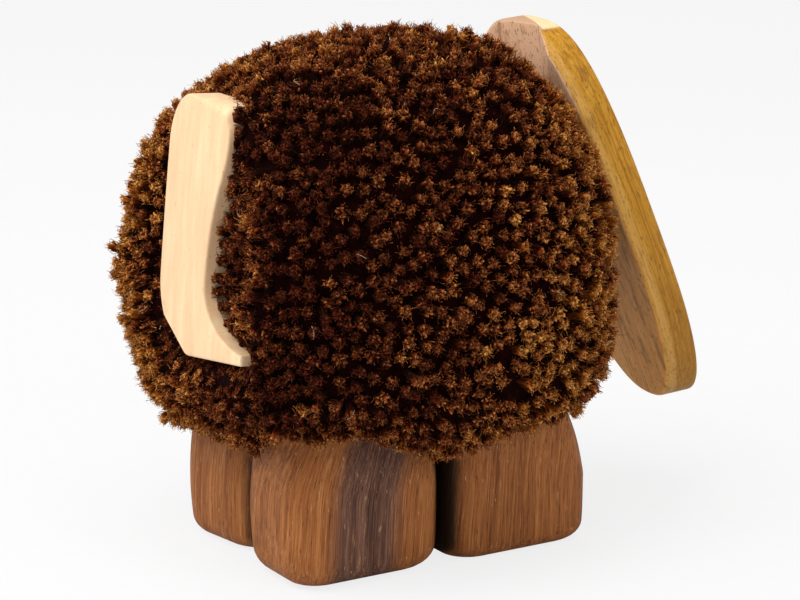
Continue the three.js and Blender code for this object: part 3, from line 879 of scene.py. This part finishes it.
def wool_base():
    """The inner body of the pile, dark with painted shade, with a pocket for the legs and the core.
    """
    grid = wool_grid(sectors=120, rows=60)
    rows, sectors = grid.shape[:2]
    points = grid.reshape(-1, 3)
    x, y, z = to_local(points, tail_matrix).T
    # Beside the tail the dark body is lifted, so that its painted shade fills the gaps between the
    # yarns there
    beside = fade(away_from(x, z, TAIL_ROOM), 4) * (y > -14)
    depth = BASE_DEPTH - BASE_LIFT_AT_TAIL * beside
    points = clear_of_wood(points - grid_normals(grid).reshape(-1, 3) * depth[:, None])
    ends = np.stack((grid[0].mean(0), grid[-1].mean(0)))
    obj = mesh_object("wool_body", np.vstack((points, ends)), ring_faces(rows, sectors))
    legs_low = np.array([-POCKET_HALF_WIDTH, LEGS_FRONT - POCKET_MARGIN, 0.0])
    legs_high = np.array([POCKET_HALF_WIDTH, LEGS_REAR + POCKET_MARGIN, POCKET_TOP])
    pockets = [(legs_low, legs_high), (core_low - CORE_MARGIN, core_high + CORE_MARGIN)]
    corners = [(x, y, z) for z in (0, 1) for y in (0, 1) for x in (0, 1)]
    sides = [(0, 2, 3, 1), (4, 5, 7, 6), (0, 1, 5, 4), (2, 6, 7, 3), (0, 4, 6, 2), (1, 3, 7, 5)]
    for low, high in pockets:
        block = [low + (high - low) * c for c in corners]
        cutter = mesh_object("pocket", block, sides, smooth=False)
        trim = obj.modifiers.new("pocket", "BOOLEAN")
        trim.operation = "DIFFERENCE"
        trim.solver = "EXACT"
        trim.object = cutter
        bpy.context.view_layer.update()
        ready = obj.evaluated_get(bpy.context.evaluated_depsgraph_get())
        mesh = bpy.data.meshes.new_from_object(ready)
        obj.modifiers.clear()
        obj.data = mesh
        bpy.data.objects.remove(cutter)
    finish_piece(obj, wool_base_material(), "wool", "wool_pile")


def spread_points(spacing, tries):
    """Points on the pile at least spacing apart, with their normals."""
    grid = wool_grid(sectors=320, rows=200)
    normals = grid_normals(grid)
    edge_a = (np.roll(grid, -1, axis=1) - grid)[:-1]
    edge_b = grid[1:] - grid[:-1]
    area = np.linalg.norm(np.cross(edge_a, edge_b), axis=-1).ravel()
    picks = rng.choice(len(area), size=tries, p=area / area.sum())
    row, column = np.divmod(picks, grid.shape[1])
    beside = (column + 1) % grid.shape[1]
    s, t = rng.random((2, tries, 1))
    points = grid[row, column] * (1 - s) * (1 - t) + grid[row, beside] * s * (1 - t)
    points += grid[row + 1, column] * (1 - s) * t + grid[row + 1, beside] * s * t
    cells = {}
    kept = []
    for i, point in enumerate(points):
        key = tuple((point // spacing).astype(int))
        near = [
            k
            for dx in (-1, 0, 1) for dy in (-1, 0, 1) for dz in (-1, 0, 1)
            for k in cells.get((key[0] + dx, key[1] + dy, key[2] + dz), ())
        ]
        if near and (np.linalg.norm(points[near] - point, axis=1) < spacing).any():
            continue
        cells.setdefault(key, []).append(i)
        kept.append(i)
    return points[kept], normals[row[kept], column[kept]]


def to_local(points, matrix):
    inverse = np.array(matrix.inverted())
    return points @ inverse[:3, :3].T + inverse[:3, 3]


def push_along(points, amounts, matrix):
    """Moves points along the Y axis of a piece."""
    axis = np.array(matrix.to_3x3() @ Vector((0, 1, 0)))
    return points + amounts[:, None] * axis


def inside_outline(x, y, outline):
    """Which points lie inside a closed outline."""
    inside = np.zeros(len(x), bool)
    for (ax, ay), (bx, by) in zip(outline, np.roll(outline, -1, axis=0)):
        if ay == by:
            continue
        crosses = (ay > y) != (by > y)
        inside ^= crosses & (x < (bx - ax) * (y - ay) / (by - ay) + ax)
    return inside


TAIL_ROOM = even_outline(tail_outline(), 90)
TAIL_CLEARANCE = 0.3
TAIL_REACH = 5
TAIL_SUNK = 3.0
TAIL_HOOK_SUNK = 1.6
YARN_SLOPE = 0.8
HEAD_ROOM = head_outline(48) * 1.02
HEAD_CLEARANCE = 0.25
FAR_OFF = 1e9


def away_from(x, y, outline):
    """Distance from points to the nearest point of an outline."""
    best = np.full(len(x), FAR_OFF)
    for ox, oy in outline:
        best = np.minimum(best, (x - ox) ** 2 + (y - oy) ** 2)
    return np.sqrt(best)


def clear_of_wood(points):
    """Moves points of the pile out of the tail and the face board, as yarn pressed against them."""
    x, y, z = to_local(points, head_matrix).T
    over = inside_outline(x, z, HEAD_ROOM) & (y < HEAD_CLEARANCE)
    moved = push_along(points, np.where(over, HEAD_CLEARANCE - y, 0), head_matrix)
    x, y, z = to_local(moved, tail_matrix).T
    away = np.where(inside_outline(x, z, TAIL_ROOM), -1.0, away_from(x, z, TAIL_ROOM))
    sunk = np.where((x < 2) & (z > 11), TAIL_HOOK_SUNK, TAIL_SUNK)
    highest = np.where(away < 0, -TAIL_THICKNESS - TAIL_CLEARANCE, YARN_SLOPE * away - sunk)
    highest = np.where(away > TAIL_REACH, FAR_OFF, highest)
    return push_along(moved, np.minimum(y, highest) - y, tail_matrix)


def clear_paths(paths):
    return clear_of_wood(paths.reshape(-1, 3)).reshape(paths.shape)


def in_legs(points):
    """Which points lie in the block of the four legs."""
    x, y, z = points.T
    across = np.abs(x) < LEGS_HALF_WIDTH
    along = (y > LEGS_FRONT - LEGS_MARGIN) & (y < LEGS_REAR + LEGS_MARGIN)
    return across & along & (z < LEGS_TOP)


def outside_legs(paths):
    """Which strands have neither their second point nor their end in the legs."""
    return ~(in_legs(paths[:, 1]) | in_legs(paths[:, -1]))


# Room left free in the map, at the sides of a tone and at the ends of a strand
MAP_SIDE = 0.15
MAP_END = 0.02


def strand_mesh(name, paths, radii, tone, sides):
    """One mesh of thin strands. paths is (count, rings, 3), radii is (count, rings)."""
    count, rings = paths.shape[:2]
    first, second = side_frame(unit(paths[:, -1] - paths[:, 0]))
    start = rng.uniform(0, FULL_TURN, count)
    verts = np.empty((count, rings, sides, 3))
    for corner in range(sides):
        aside = around(first, second, start + corner * FULL_TURN / sides)
        verts[:, :, corner] = paths + aside[:, None] * radii[..., None]
    per = rings * sides
    loops_one = []
    sizes_one = []
    for r in range(rings - 1):
        low, high = r * sides, (r + 1) * sides
        for corner in range(sides):
            after = (corner + 1) % sides
            loops_one += [low + corner, low + after, high + after, high + corner]
            sizes_one.append(4)
    loops_one += list(range(sides))[::-1] + list(range(per - sides, per))
    sizes_one += [sides, sides]
    base = (np.arange(count) * per)[:, None]
    loops = (base + np.array(loops_one)).ravel()
    sizes = np.tile(sizes_one, count)
    mesh = bpy.data.meshes.new(name)
    mesh.vertices.add(count * per)
    mesh.vertices.foreach_set("co", (verts * MM).astype(np.float32).ravel())
    mesh.loops.add(len(loops))
    mesh.loops.foreach_set("vertex_index", loops.astype(np.int32))
    mesh.polygons.add(len(sizes))
    starts = np.cumsum(sizes) - sizes
    mesh.polygons.foreach_set("loop_start", starts.astype(np.int32))
    mesh.shade_smooth()
    mesh.update(calc_edges=True)
    ring_of, corner_of = np.divmod(np.array(loops_one), sides)
    u_one = MAP_SIDE + (1 - 2 * MAP_SIDE) * corner_of / (sides - 1)
    v_one = MAP_END + (1 - 2 * MAP_END) * (ring_of / (rings - 1))
    column = np.floor(np.clip(tone, 0, 0.999) * YARN_TONES)[:, None]
    u = (column + u_one) / YARN_TONES
    v = np.broadcast_to(v_one, u.shape)
    layer = mesh.uv_layers.new(name="OFBake")
    layer.data.foreach_set("uv", np.stack((u, v), -1).astype(np.float32).ravel())
    return put_object(name, mesh)


def side_frame(direction):
    """Two unit vectors across each direction."""
    helper = np.where(np.abs(direction[:, 2:]) < 0.8, [[0, 0, 1.0]], [[1.0, 0, 0]])
    first = np.cross(direction, helper)
    first /= np.linalg.norm(first, axis=1, keepdims=True)
    return first, np.cross(direction, first)


def around(first, second, angle):
    """The directions at an angle from first towards second."""
    return first * np.cos(angle)[:, None] + second * np.sin(angle)[:, None]


def slow_field(points, length, seed):
    """A smooth vector field, so that neighbouring yarns lean the same way."""
    return np.stack([smooth_wobble(points, 1.0, length, seed + k) for k in range(3)], -1)


PARTING_TOP = np.array([-38.7, LEGS_MIDDLE - 0.2, 44.0])
PARTING_FOOT = np.array([-36.9, LEGS_MIDDLE - 4.4, 31.0])
PARTING_BARE = 1.3
PARTING_REACH = 3.5
PARTING_LEAN = 0.7


def from_parting(points):
    """The way from a parting in the pile to points, across it."""
    along = PARTING_FOOT - PARTING_TOP
    share = np.clip((points - PARTING_TOP) @ along / (along @ along), 0, 1)
    return points - PARTING_TOP - share[:, None] * along


# The pile's colour is painted darker on one shaded side and lighter on two lit sides: direction,
# start and amount
SHADED_SIDE = np.array([-0.83, 0.5, 0.25])
SUNNY_SIDES = [
    ((-0.8, -0.6, 0.0), 0.5, 0.9),
    ((0.8, 0.6, 0.0), 0.62, 2.4),
]

# Painted light patches at both ends and painted shade beside the tail: centre, radius and tone
LIT_AND_SHADED_PATCHES = [
    ((26.0, LEGS_MIDDLE + 36.0, 62.0), 20.0, 0.6),
    ((24.0, LEGS_MIDDLE + 36.0, 30.0), 20.0, 0.7),
    ((-37.0, LEGS_MIDDLE - 9.0, 42.0), 14.0, 0.4),
    ((-16.0, LEGS_MIDDLE + 37.0, 58.0), 19.0, -0.45),
]

TUFT_SPACING = 2.2
TUFT_TRIES = 60000
TUFT_PLIES = 11
TUFT_FIBRES = 34
PILE_DEPTH = 3.4
PIECE_STRANDS = 3400
FUZZ_COUNT = 9000
LINT_COUNT = 46
LINT_POINTS = 6
FINE_RADIUS = 0.04

# How far along a strand each ring lies, how far it is splayed there, and its radius
PLY_RINGS = (
    (0.0, 0.45, 0.2), (0.6, 0.7, 0.26), (0.84, 0.9, 0.3), (0.95, 1.0, 0.26), (1.0, 1.03, 0.12))
FIBRE_RINGS = ((0.6, 0.7, 0.05), (0.82, 0.9, 0.055), (0.94, 1.05, 0.055), (1.0, 1.15, 0.04))


def yarn_paths(centres, heading, height, width, each, profile, crimp):
    """Strands from each yarn's root to its splayed end, as (count, rings, 3), and their yarns."""
    owner = np.repeat(np.arange(len(centres)), each)
    total = len(owner)
    direction = heading[owner]
    first, second = side_frame(direction)
    angle = rng.uniform(0, FULL_TURN, total)
    radius = np.sqrt(rng.random(total)) * width[owner]
    aside = around(first, second, angle)
    top = height[owner] + rng.normal(0, 0.22, total) - 0.35 * radius ** 2
    rings = []
    for ring in profile:
        share, splay = ring[:2]
        level = -PILE_DEPTH + (top + PILE_DEPTH) * share
        point = centres[owner] + direction * level[:, None] + aside * (splay * radius)[:, None]
        rings.append(point + rng.normal(0, crimp * share, (total, 3)))
    return np.stack(rings, 1), owner


def put_strands(name, paths, owner, tuft_tone_and_light, profile, sides, material):
    """Meshes of the strands that are clear of the wood, a few thousand strands in each."""
    paths = clear_paths(paths)
    outside = outside_legs(paths)
    paths, owner = paths[outside], owner[outside]
    tone = np.clip(tuft_tone_and_light[owner] + rng.normal(0, 0.12, len(owner)), 0, 0.999)
    thickness = np.array([ring[2] for ring in profile])
    radii = thickness * rng.uniform(0.65, 1.2, (len(owner), 1))
    pieces = math.ceil(len(owner) / PIECE_STRANDS)
    for k, part in enumerate(np.array_split(np.arange(len(owner)), pieces)):
        obj = strand_mesh(f"{name}_{k + 1}", paths[part], radii[part], tone[part], sides)
        finish_piece(obj, material, "wool", "wool_pile")


def wool_pile():
    """Thousands of cut yarns, each a knot of soft plies with fine fibres at the end."""
    centres, normals = spread_points(TUFT_SPACING, TUFT_TRIES)
    parting = np.linalg.norm(from_parting(centres), axis=1)
    keep = ~in_legs(centres) & (parting > PARTING_BARE)
    centres, normals = centres[keep], normals[keep]
    count = len(centres)
    lean = slow_field(centres, 11.0, 40) * 0.2 + rng.normal(size=(count, 3)) * 0.16
    away = from_parting(centres)
    gap = np.linalg.norm(away, axis=1, keepdims=True)
    lean += away / gap * PARTING_LEAN * fade(gap, PARTING_REACH)
    heading = unit(normals + lean)
    height = 0.7 + rng.normal(0, 0.5, count) + smooth_wobble(centres, 0.3, 9.0, 50)
    width = rng.uniform(0.8, 1.3, count)
    tuft_tone_and_light = rng.normal(0.24, 0.23, count) + smooth_wobble(centres, 0.12, 16.0, 60)
    # Painted light and shade: on top of each yarn's own random tone, the tone is raised on lit sides
    # and patches and lowered on the shaded side
    tuft_tone_and_light += np.clip(0.75 * (0.68 - normals @ SHADED_SIDE), -0.2, 0.6)
    for side, start, amount in SUNNY_SIDES:
        tuft_tone_and_light += amount * np.clip(normals @ np.array(side) - start, 0, 1)
    tuft_tone_and_light = np.clip(tuft_tone_and_light + patch_sum(centres, LIT_AND_SHADED_PATCHES), 0, 1)
    material = yarn_material()
    plies, owner = yarn_paths(
        centres, heading, height - 0.25, width * 0.75, TUFT_PLIES, PLY_RINGS, crimp=0.2)
    put_strands("wool_plies", plies, owner, tuft_tone_and_light, PLY_RINGS, 5, material)
    fibres, owner = yarn_paths(
        centres, heading, height, width, TUFT_FIBRES, FIBRE_RINGS, crimp=0.32)
    put_strands("wool_fibres", fibres, owner, tuft_tone_and_light, FIBRE_RINGS, 3, material)
    return centres, normals, material


def wool_fuzz(centres, normals, material):
    """Fine loose fibres that soften the outline."""
    shape = (FUZZ_COUNT, 3)
    pick = rng.integers(0, len(centres), FUZZ_COUNT)
    out = unit(normals[pick] + rng.normal(0, 0.45, shape))
    start = centres[pick] + rng.normal(0, 0.7, shape) - normals[pick] * 0.8
    length = rng.uniform(0.6, 1.4, (FUZZ_COUNT, 1))
    bow = unit(rng.normal(size=shape)) * length * 0.45
    paths = np.stack((
        start,
        start + out * length * 0.4 + bow * 0.7,
        start + out * length * 0.75 + bow,
        start + out * length + bow * 0.8,
    ), 1)
    paths = clear_paths(paths)
    paths = paths[outside_legs(paths)]
    tone = rng.uniform(0.4, 0.95, len(paths))
    radii = np.tile([[FINE_RADIUS, FINE_RADIUS, 0.035, 0.025]], (len(paths), 1))
    finish_piece(strand_mesh("wool_fuzz", paths, radii, tone, 3), material, "wool", "wool_pile")


def wool_lint(centres, normals):
    """A few pale stray fibres caught on the pile."""
    pick = rng.integers(0, len(centres), LINT_COUNT)
    first, second = side_frame(normals[pick])
    along = around(first, second, rng.uniform(0, FULL_TURN, LINT_COUNT))
    across = np.cross(normals[pick], along)
    length = rng.uniform(0.8, 2.8, (LINT_COUNT, 1))
    curl = rng.normal(0, 0.16, (LINT_COUNT, 1))
    paths = []
    for t in np.linspace(0, 1, LINT_POINTS):
        arc = math.sin(math.pi * t)
        lift = normals[pick] * (0.5 + 0.35 * arc)
        sway = across * length * curl * arc
        paths.append(centres[pick] + along * length * (t - 0.5) + sway + lift)
    paths = clear_paths(np.stack(paths, 1))
    radii = np.full((LINT_COUNT, LINT_POINTS), FINE_RADIUS)
    obj = strand_mesh("wool_lint", paths, radii, np.full(LINT_COUNT, 0.5), 3)
    finish_piece(obj, lint_material(), "wool", "wool_pile")


# Build

leg("rear_right_leg", seed=1, turn=72, streak=0.2, arch=0.016, foot_edge=LEG_EDGE)
leg("rear_left_leg", seed=2, turn=20, streak=-12.0, skew=0.13)
leg("front_right_leg", seed=3, turn=66, streak=40.0, front_lean=LEG_FRONT_LEAN)
leg("front_left_leg", seed=4, turn=35, streak=9.0, front_lean=LEG_FRONT_LEAN)
head_board()
tail()
peg_wood = plain_wood("peg_wood", rgb(14, 11, 10), rgb(38, 30, 26))
for eye, aside in (("right_eye", -EYE_ASIDE), ("left_eye", EYE_ASIDE)):
    dome(eye, (aside, PEG_FACE, EYE_LEVEL), EYE_DIAMETER, EYE_HEIGHT, peg_wood)
dome("nose", (0.0, PEG_FACE, NOSE_LEVEL), NOSE_DIAMETER, NOSE_HEIGHT, peg_wood)
wool_base()
tuft_centres, tuft_normals, yarn = wool_pile()
wool_fuzz(tuft_centres, tuft_normals, yarn)
wool_lint(tuft_centres, tuft_normals)

core_wood = plain_wood("core_wood_grain", rgb(176, 136, 88), rgb(222, 190, 140))
twine = twine_material()
for name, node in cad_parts.items():
    if name == "body_core" or "_dowel" in name:
        set_material(node, core_wood)
    elif name == "binding_cord":
        set_material(node, twine)


# Camera, light and floor

CAMERA_TURN = 239
CAMERA_RISE = 15
CAMERA_DISTANCE = 0.6
CAMERA_SENSOR = 36
CAMERA_LENS = 152.55
CAMERA_TARGET = Vector((-1.3, LEGS_MIDDLE - 2.2, 43.5)) * MM

# Each light's name, turn and rise in degrees, distance, size and power
LIGHTS = [
    ("key", 192, 52, 0.8, 0.55, 3.6),
    ("top", 250, 82, 0.8, 0.6, 1.6),
    ("side", 285, 25, 0.9, 0.6, 1.6),
    ("left", 140, 28, 0.9, 0.6, 1.6),
]
SKY_LIGHT = 0.42
SKY_SHOWN = 1.0
FLOOR_HALF = 3000.0
FLOOR_GLOW = 0.8
WHITE = (1, 1, 1, 1)


def aim(obj, turn, rise, distance):
    """Puts an object at a distance from the target, by angles in degrees, and points it there."""
    turn, rise = math.radians(turn), math.radians(rise)
    flat = math.cos(rise)
    away = Vector((math.sin(turn) * flat, -math.cos(turn) * flat, math.sin(rise))) * distance
    obj.location = CAMERA_TARGET + away
    obj.rotation_euler = (-away).to_track_quat("-Z", "Y").to_euler()


scene = bpy.context.scene
camera_data = bpy.data.cameras.new("camera")
camera_data.sensor_width = CAMERA_SENSOR
camera_data.lens = CAMERA_LENS
camera_data.clip_start = 0.01
scene.camera = put_object("camera", camera_data)
aim(scene.camera, CAMERA_TURN, CAMERA_RISE, CAMERA_DISTANCE)

for name, turn, rise, distance, size, power in LIGHTS:
    lamp = bpy.data.lights.new(name, "AREA")
    lamp.shape = "DISK"
    lamp.size = size
    lamp.energy = power
    aim(put_object(name, lamp), turn, rise, distance)

world = bpy.data.worlds.new("studio")
scene.world = world
world.use_nodes = True
nodes = Nodes(world.node_tree)
ray = nodes.add("LightPath").outputs["Is Camera Ray"]
strength = nodes.add("MapRange", {"Value": ray, "To Min": SKY_LIGHT, "To Max": SKY_SHOWN})
sky = nodes.add("Background", {"Color": WHITE, "Strength": strength.outputs["Result"]})
nodes.add("OutputWorld", {"Surface": sky.outputs["Background"]})


def floor_material():
    """Pale paper that shows white to the camera and keeps part of the shadow."""
    s = Shader("paper", 0.9, 0.0)
    grain = s.noise(s.coordinates(), (400, 400, 400), 2.0)
    s.colour(s.ramp(grain, [(0.3, (0.80, 0.80, 0.80, 1)), (0.7, (0.84, 0.84, 0.84, 1))]))
    glow = s.add("Emission", {"Color": WHITE, "Strength": 1.0})
    seen = s.add("LightPath").outputs["Is Camera Ray"]
    blend = s.add("MixShader", {"Fac": s.times(seen, FLOOR_GLOW)})
    s.link(s.surface.outputs["BSDF"], blend.inputs[1])
    s.link(glow.outputs["Emission"], blend.inputs[2])
    s.link(blend.outputs["Shader"], s.output.inputs["Surface"])
    return s.material


floor_signs = [(-1, -1), (1, -1), (1, 1), (-1, 1)]
floor_corners = [(x * FLOOR_HALF, y * FLOOR_HALF, 0) for x, y in floor_signs]
floor = mesh_object("floor", floor_corners, [(0, 1, 2, 3)], smooth=False)
floor.data.materials.append(floor_material())

scene.view_settings.view_transform = "Standard"
